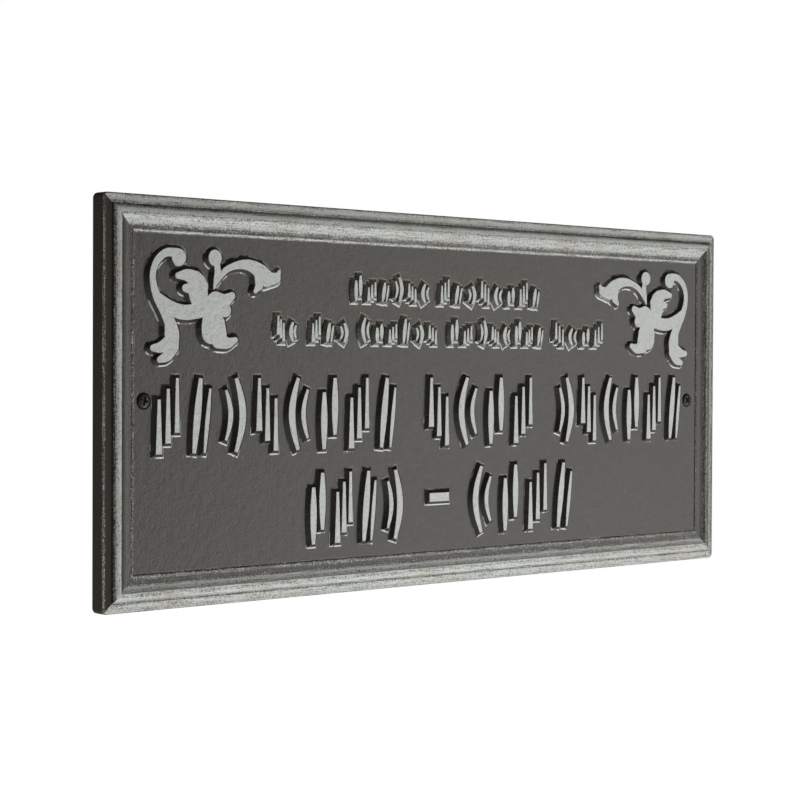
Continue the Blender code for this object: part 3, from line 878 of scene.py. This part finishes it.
class Shader:
    """Short ways to add and link the nodes of one material."""

    def __init__(self, name):
        self.material = bpy.data.materials.new(name)
        self.material.use_nodes = True
        self.tree = self.material.node_tree
        self.surface = self.tree.nodes["Principled BSDF"]

    def put(self, socket, value):
        """Links an output to a socket, or sets the socket's own value."""
        if isinstance(value, bpy.types.NodeSocket):
            self.tree.links.new(value, socket)
        else:
            socket.default_value = value

    def math(self, operation, *values):
        """A Math node's output."""
        node = self.tree.nodes.new("ShaderNodeMath")
        node.operation = operation
        for socket, value in zip(node.inputs, values):
            self.put(socket, value)
        return node.outputs[0]

    def times(self, first, *others):
        """The product of two or more values."""
        product = first
        for value in others:
            product = self.math("MULTIPLY", product, value)
        return product

    def plus(self, first, *others):
        """The sum of two or more values."""
        total = first
        for value in others:
            total = self.math("ADD", total, value)
        return total

    def most(self, first, *others):
        """The highest of two or more values."""
        highest = first
        for value in others:
            highest = self.math("MAXIMUM", highest, value)
        return highest

    def ramp(self, value, low, high):
        """0 below the low value, 1 above the high one and smooth between."""
        node = self.tree.nodes.new("ShaderNodeMapRange")
        node.interpolation_type = "SMOOTHSTEP"
        self.put(node.inputs["Value"], value)
        self.put(node.inputs["From Min"], low)
        self.put(node.inputs["From Max"], high)
        return node.outputs["Result"]

    def noise(self, vector, pattern):
        """A Noise Texture's factor, for a pattern of scale, detail and roughness."""
        scale, detail, roughness = pattern
        node = self.tree.nodes.new("ShaderNodeTexNoise")
        self.put(node.inputs["Vector"], vector)
        node.inputs["Scale"].default_value = scale
        node.inputs["Detail"].default_value = detail
        node.inputs["Roughness"].default_value = roughness
        return node.outputs["Fac"]

    def combine(self, x, y, z):
        """A vector from three values."""
        node = self.tree.nodes.new("ShaderNodeCombineXYZ")
        for socket, value in zip(node.inputs, (x, y, z)):
            self.put(socket, value)
        return node.outputs[0]

    def mix(self, factor, first, second):
        """A blend of two values."""
        node = self.tree.nodes.new("ShaderNodeMix")
        self.put(node.inputs[0], factor)
        self.put(node.inputs[2], first)
        self.put(node.inputs[3], second)
        return node.outputs[0]

    def blend(self, factor, first, second):
        """A blend of two colours."""
        node = self.tree.nodes.new("ShaderNodeMix")
        node.data_type = "RGBA"
        self.put(node.inputs[0], factor)
        for socket, colour in ((node.inputs[6], first), (node.inputs[7], second)):
            self.put(socket, (*colour, 1.0) if isinstance(colour, tuple) else colour)
        return node.outputs[2]

    def curve(self, value, points, longest):
        """A level read off straight lines through points of value and level, up to the longest value."""
        node = self.tree.nodes.new("ShaderNodeValToRGB")
        elements = node.color_ramp.elements
        while len(elements) > 1:
            elements.remove(elements[-1])
        for index, (place, level) in enumerate(points):
            element = elements[0] if index == 0 else elements.new(place / longest)
            element.position = place / longest
            element.color = (level, level, level, 1.0)
        self.put(node.inputs["Fac"], self.math("DIVIDE", value, longest))
        return node.outputs["Color"]

    def bump(self, height, distance, strength, normal=None):
        """A Bump node's normal, its distance in millimetres."""
        node = self.tree.nodes.new("ShaderNodeBump")
        node.inputs["Distance"].default_value = distance * MM
        node.inputs["Strength"].default_value = strength
        self.put(node.inputs["Height"], height)
        if normal is not None:
            self.put(node.inputs["Normal"], normal)
        return node.outputs["Normal"]

    def place(self):
        """Across, up and height from the wall, in millimetres, and the three as one vector."""
        coordinates = self.tree.nodes.new("ShaderNodeTexCoord")
        scaled = self.tree.nodes.new("ShaderNodeVectorMath")
        scaled.operation = "SCALE"
        self.put(scaled.inputs[0], coordinates.outputs["Object"])
        scaled.inputs["Scale"].default_value = 1 / MM
        split = self.tree.nodes.new("ShaderNodeSeparateXYZ")
        self.put(split.inputs[0], scaled.outputs[0])
        across, back, up = split.outputs
        return across, up, self.times(back, -1.0), scaled.outputs[0]

    def facing(self, axis):
        """How squarely the slope of the surface faces along X or Z, from 1 to -1, however steep it is."""
        geometry = self.tree.nodes.new("ShaderNodeNewGeometry")
        split = self.tree.nodes.new("ShaderNodeSeparateXYZ")
        self.put(split.inputs[0], geometry.outputs["Normal"])
        sideways = self.math("POWER", split.outputs["X"], 2.0)
        upright = self.math("POWER", split.outputs["Z"], 2.0)
        slope = self.math("SQRT", self.plus(sideways, upright, FLAT_GUARD))
        return self.math("DIVIDE", split.outputs[axis], slope)

    def seen_or_lit(self, seen, lit):
        """One value where the camera looks and another where light is gathered."""
        rays = self.tree.nodes.new("ShaderNodeLightPath")
        return self.mix(rays.outputs["Is Camera Ray"], lit, seen)

    def scale(self, colour, factor):
        """A colour made darker or lighter by a factor."""
        node = self.tree.nodes.new("ShaderNodeVectorMath")
        node.operation = "SCALE"
        self.put(node.inputs[0], colour)
        self.put(node.inputs["Scale"], factor)
        return node.outputs[0]


class Spot:
    """Where a point of the casting lies, as the outputs that its finish reads."""

    def __init__(self, shader):
        self.across, self.up, self.height, self.place = shader.place()
        self.downward = shader.times(shader.facing("Z"), -1.0)
        self.rightward = shader.facing("X")
        from_side = shader.math("SUBTRACT", PLATE_WIDTH / 2, shader.math("ABSOLUTE", self.across))
        from_end = shader.math("SUBTRACT", PLATE_HEIGHT / 2, shader.math("ABSOLUTE", self.up))
        self.inset = shader.math("MINIMUM", from_side, from_end)
        self.upright = shader.math("LESS_THAN", from_side, from_end)
        self.left_side = shader.times(self.upright, shader.math("LESS_THAN", self.across, 0.0))
        self.in_border = shader.ramp(self.inset, BORDER_WIDTH + 0.5, BORDER_WIDTH)
        self.on_field = shader.math("SUBTRACT", 1.0, self.in_border)
        top_height = FIELD_HEIGHT + RELIEF
        near_top = shader.ramp(self.height, top_height - 0.16, top_height - 0.04)
        self.top = shader.times(near_top, self.on_field)
        self.not_top = shader.math("SUBTRACT", 1.0, self.top)
        self.side = shader.ramp(self.height, EDGE_HEIGHT - 0.4, EDGE_HEIGHT - 1.0)
        self.back = shader.ramp(self.height, 0.3, 0.1)
        self.in_small_rows = small_rows(shader, self.across, self.up)


def small_rows(shader, across, up):
    """One over the two rows of small strokes, nought elsewhere."""
    rows_foot = SECOND_ROW_FOOT - SMALL_ROWS_FADE
    above_large_rows = shader.ramp(up, rows_foot - SMALL_ROWS_FADE, rows_foot)
    from_middle = shader.math("ABSOLUTE", across)
    between_scrolls = shader.ramp(from_middle, SMALL_ROWS_REACH + SMALL_ROWS_FADE, SMALL_ROWS_REACH)
    return shader.times(above_large_rows, between_scrolls)


def border_grain(shader, spot, speckle):
    """Lengthwise streaks and fine specks that break up the silver of the border, about nought."""
    streak_place = shader.combine(
        shader.times(shader.mix(spot.upright, spot.across, spot.up), 0.06),
        shader.times(spot.inset, 2.8),
        shader.times(spot.upright, 31.0),
    )
    streaks = shader.noise(streak_place, BORDER_STREAKS)
    grain = shader.plus(shader.times(streaks, STREAK_SHARE), shader.times(speckle, SPECK_SHARE))
    return shader.math("SUBTRACT", grain, 0.5)


def border_silver_and_painted_light(shader, spot, grain):
    """Silver of the border: the cover of its side and inset, broken up by the grain. The sides differ
    partly as painted shade: none on the left rim, in the crest's shadow, and little on the inner slopes of
    the left and right borders and low in the bottom border's cove.
    """
    tables = (TOP_SILVER_AND_PAINTED_LIGHT, BOTTOM_SILVER_AND_PAINTED_LIGHT, LEFT_SILVER_AND_PAINTED_LIGHT, RIGHT_SILVER_AND_PAINTED_LIGHT)
    # The side tables hold painted shade as well as rubbed silver: none on the left rim, little on the inner
    # slopes of the left and right borders and low in the bottom cove.
    top, bottom, left, right = [shader.curve(spot.inset, points, SILVER_REACH) for points in tables]
    long_side_with_painted_light = shader.mix(shader.math("GREATER_THAN", spot.up, 0.0), bottom, top)
    short_side_with_painted_light = shader.mix(shader.math("GREATER_THAN", spot.across, 0.0), left, right)
    front = shader.ramp(spot.height, EDGE_HEIGHT - 0.7, EDGE_HEIGHT - 0.2)
    cover = shader.times(shader.mix(spot.upright, long_side_with_painted_light, short_side_with_painted_light), front, spot.in_border)
    contrast = shader.mix(spot.left_side, GRAIN_CONTRAST, LEFT_GRAIN_CONTRAST)
    level = shader.plus(cover, shader.times(grain, contrast))
    return shader.times(shader.ramp(level, 0.05, 1.1), shader.ramp(cover, 0.0, 0.08))


def lip_silver_and_painted_shade(shader, spot, grain):
    """Silver of the lip at the foot of the raised work: whole in the small rows, patchy elsewhere. Only
    lips that face up or down get it; the sideways ones get none, which keeps the left-facing lips dark as
    painted shade.
    """
    patches = shader.noise(spot.place, WORN_PATCHES)
    low = shader.ramp(spot.height, FIELD_HEIGHT, FIELD_HEIGHT + 0.03)
    high = shader.ramp(spot.height, FIELD_HEIGHT + 0.45, FIELD_HEIGHT + 0.34)
    worn_below = shader.mix(spot.in_small_rows, shader.ramp(patches, 0.40, 0.58), 1.0)
    worn_above = shader.mix(spot.in_small_rows, shader.ramp(patches, 0.30, 0.70), 1.0)
    # Silver goes only on lips that face down or up; leaving the sideways lips dark is painted shade on the
    # left-facing sides.
    below = shader.times(shader.ramp(spot.downward, 0.30, 0.55), worn_below)
    above = shader.times(shader.ramp(spot.downward, -0.20, -0.50), worn_above)
    cover = shader.times(low, high, shader.most(below, above), spot.on_field)
    return shader.times(shader.ramp(shader.plus(cover, grain), 0.20, 0.80), shader.ramp(cover, 0.0, 0.1))


def wall_silver_and_painted_shade(shader, spot, speckle):
    """Silver rubbed into the walls of the small strokes, about half as much on those that face left, as
    painted shade.
    """
    wall = shader.ramp(spot.height, FIELD_HEIGHT + 0.2, FIELD_HEIGHT + 0.5)
    # Less silver on walls that face left: painted shade.
    turned = shader.ramp(spot.rightward, -2.2, 0.1)
    specks = shader.ramp(speckle, 0.28, 0.74)
    return shader.times(wall, spot.in_small_rows, turned, specks, WALL_SILVER_SHARE)


def scratches(shader, spot):
    """Fine slanting scratches on the field, gathered in a few patches."""
    turned_place = shader.combine(
        shader.plus(shader.times(spot.across, 0.09), shader.times(spot.up, 0.11)),
        shader.math("SUBTRACT", shader.times(spot.across, 1.3), shader.times(spot.up, 1.06)),
        0.0,
    )
    lines = shader.ramp(shader.noise(turned_place, SCRATCH_LINES), 0.66, 0.74)
    where = shader.ramp(shader.noise(spot.place, SCRATCHED_PATCHES), 0.50, 0.60)
    return shader.times(lines, where, spot.on_field, SCRATCH_SHARE)


def silver_cover(shader, spot):
    """How fully silver shows: on the tops, the lips, the small walls, the scratches and the border, with
    less on some sides of the border, lips and small walls as painted shade.
    """
    fine_speckle = shader.noise(spot.place, FINE_SPECKS)
    grain = border_grain(shader, spot, fine_speckle)
    coarse_speckle = shader.noise(spot.place, COARSE_SPECKS)
    return shader.most(
        border_silver_and_painted_light(shader, spot, grain),
        lip_silver_and_painted_shade(shader, spot, grain),
        shader.times(spot.top, shader.ramp(coarse_speckle, 0.10, 0.52)),
        wall_silver_and_painted_shade(shader, spot, fine_speckle),
        scratches(shader, spot),
    )


def paint_colour(shader, spot, mottle, fine):
    """Dark paint, browner on the sides and rough grey on the back, with soft clouds."""
    front_and_side = shader.blend(spot.side, DARK_PAINT, SIDE_PAINT)
    cloud = shader.plus(shader.times(mottle, 0.6), shader.times(fine, 0.7))
    back_cloud = shader.times(spot.back, mottle, 1.6)
    painted = shader.blend(spot.back, front_and_side, BACK_PAINT)
    return shader.scale(painted, shader.plus(1.0, cloud, back_cloud))


def silver_colour(shader, spot, fine):
    """Silver, browned in patches of the border and on the upper lips."""
    brown_patch = shader.ramp(shader.noise(spot.place, BROWN_PATCHES), 0.50, 0.66)
    brown_border = shader.times(brown_patch, spot.in_border, BROWN_BORDER_SHARE)
    # Lips that face up get the darker brown silver.
    brown_lip = shader.times(shader.ramp(spot.downward, 0.0, -0.2), spot.on_field, spot.not_top)
    worn = shader.blend(shader.most(brown_border, brown_lip), SILVER, BROWNED_SILVER)
    return shader.scale(worn, shader.plus(1.0, shader.times(fine, 0.35)))


def cast_roughness(shader, spot, silver, mottle, fine):
    """Roughness: glossier low on the raised work's walls, dull on the left rim and the sides."""
    low_wall = shader.ramp(spot.height, FIELD_HEIGHT + 0.02, FIELD_HEIGHT + 0.1)
    low_wall = shader.times(low_wall, spot.on_field, spot.not_top)
    rim = shader.times(shader.ramp(spot.inset, 0.7, 1.6), shader.ramp(spot.inset, 6.4, 5.0))
    left_rim = shader.times(rim, spot.left_side)
    painted = shader.mix(low_wall, PAINT_ROUGHNESS, CREVICE_ROUGHNESS)
    painted = shader.mix(shader.most(left_rim, spot.side), painted, GRIMY_ROUGHNESS)
    unevenness = shader.plus(shader.times(mottle, 0.2), shader.times(fine, 0.3))
    return shader.plus(shader.mix(silver, painted, SILVER_ROUGHNESS), unevenness)


def cast_finish():
    """Dark painted casting, rubbed back to silver on the raised work and the high parts of the border, with
    less silver on some sides as painted shade.
    """
    shader = Shader("cast_finish")
    spot = Spot(shader)
    mottle = shader.math("SUBTRACT", shader.noise(spot.place, MOTTLE), 0.5)
    fine = shader.math("SUBTRACT", shader.noise(spot.place, FINE_CLOUDS), 0.5)
    silver = silver_cover(shader, spot)
    dark = paint_colour(shader, spot, mottle, fine)
    bright = silver_colour(shader, spot, fine)
    coarse_bump = shader.bump(shader.noise(spot.place, COARSE_BUMPS), 0.36, 0.6)
    fine_bump = shader.bump(shader.noise(spot.place, FINE_BUMPS), 0.20, 0.6, coarse_bump)
    shader.put(shader.surface.inputs["Base Color"], shader.blend(silver, dark, bright))
    shader.put(shader.surface.inputs["Metallic"], shader.times(silver, SILVER_METAL))
    shader.put(shader.surface.inputs["Roughness"], cast_roughness(shader, spot, silver, mottle, fine))
    shader.put(shader.surface.inputs["Normal"], fine_bump)
    return shader.material


def screw_finish():
    """Blackened steel with a soft sheen and fine handling marks."""
    shader = Shader("screw_finish")
    place = shader.place()[3]
    marks_seen = shader.noise(place, SCREW_MARKS)
    colour = shader.blend(shader.noise(place, SCREW_CLOUDS), SCREW_DARK, SCREW_PALE)
    shader.put(shader.surface.inputs["Base Color"], colour)
    shader.surface.inputs["Metallic"].default_value = SCREW_METAL
    rough = shader.plus(SCREW_ROUGHNESS, shader.times(marks_seen, 0.25))
    shader.put(shader.surface.inputs["Roughness"], rough)
    shader.put(shader.surface.inputs["Normal"], shader.bump(marks_seen, 0.02, 0.4))
    return shader.material


def give(target, material):
    """Puts the material on the whole piece."""
    target.data.materials.clear()
    target.data.materials.append(material)


def make_camera():
    """Camera at the photograph's viewing angle."""
    data = bpy.data.cameras.new("camera")
    data.sensor_width = SENSOR_WIDTH
    data.lens = CAMERA_LENS
    data.clip_start = 0.01
    camera = new_object("camera", data, bpy.context.scene.collection)
    yaw, pitch, roll = (math.radians(value) for value in (CAMERA_YAW, CAMERA_PITCH, CAMERA_ROLL))
    level = Vector((math.sin(yaw), math.cos(yaw), 0))
    side = Vector((math.cos(yaw), -math.sin(yaw), 0))
    top = Vector((0, 0, 1))
    view = math.cos(pitch) * level - math.sin(pitch) * top
    above = math.sin(pitch) * level + math.cos(pitch) * top
    right = math.cos(roll) * side + math.sin(roll) * above
    up = math.cos(roll) * above - math.sin(roll) * side
    turn = Matrix((right, up, -view)).transposed().to_4x4()
    camera.matrix_world = Matrix.Translation(CAMERA_PLACE) @ turn
    bpy.context.scene.camera = camera


def area_light(name, place, size, power):
    """Soft rectangular light that faces the plaque."""
    data = bpy.data.lights.new(name, "AREA")
    data.shape = "RECTANGLE"
    data.size, data.size_y = size
    data.energy = power
    data.color = LIGHT_COLOUR
    light = new_object(name, data, bpy.context.scene.collection)
    light.location = place
    light.rotation_euler = (-Vector(place)).to_track_quat("-Z", "Y").to_euler()


def make_floor():
    """Plain pale floor well below the plaque."""
    form = bmesh.new()
    bmesh.ops.create_grid(form, x_segments=8, y_segments=8, size=FLOOR_HALF_SIZE)
    bmesh.ops.translate(form, verts=form.verts, vec=(0, 0, FLOOR_LEVEL))
    mesh = bpy.data.meshes.new("floor")
    form.to_mesh(mesh)
    form.free()
    floor = new_object("floor", mesh, bpy.context.scene.collection)
    shader = Shader("pale_floor")
    place = shader.place()[3]
    colour = shader.blend(shader.noise(place, FLOOR_CLOUDS), FLOOR_SHADE, FLOOR_TINT)
    shader.put(shader.surface.inputs["Base Color"], colour)
    shader.surface.inputs["Roughness"].default_value = FLOOR_ROUGHNESS
    shader.surface.inputs["Emission Color"].default_value = FLOOR_GLOW
    shader.put(shader.surface.inputs["Emission Strength"], shader.seen_or_lit(1.0, FLOOR_LIGHT))
    give(floor, shader.material)


def make_world():
    """Soft studio surround: white where the camera sees it and dimmer as a light."""
    world = bpy.data.worlds.new("studio")
    world.use_nodes = True
    tree = world.node_tree
    background = tree.nodes["Background"]
    background.inputs["Color"].default_value = (1.0, 1.0, 1.0, 1.0)
    rays = tree.nodes.new("ShaderNodeLightPath")
    level = tree.nodes.new("ShaderNodeMapRange")
    level.inputs["To Min"].default_value = SURROUND_LIGHT
    level.inputs["To Max"].default_value = 1.0
    tree.links.new(rays.outputs["Is Camera Ray"], level.inputs["Value"])
    tree.links.new(level.outputs["Result"], background.inputs["Strength"])
    bpy.context.scene.world = world


def make_lights():
    """Large soft key from the right and a weaker bounce from below it."""
    area_light("key", KEY_PLACE, KEY_SIZE, KEY_POWER)
    area_light("bounce", BOUNCE_PLACE, BOUNCE_SIZE, BOUNCE_POWER)


make_camera()
make_world()
make_lights()
make_floor()

casting = make_casting()
give(casting, cast_finish())
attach(casting, "root")
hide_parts("plaque")

black_steel = screw_finish()
for screw_name, across, up, turn in screw_places():
    screw = make_screw(screw_name, across, up, turn)
    give(screw, black_steel)
    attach(screw, "root")
    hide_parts(screw_name)

bpy.context.scene.view_settings.view_transform = "Standard"
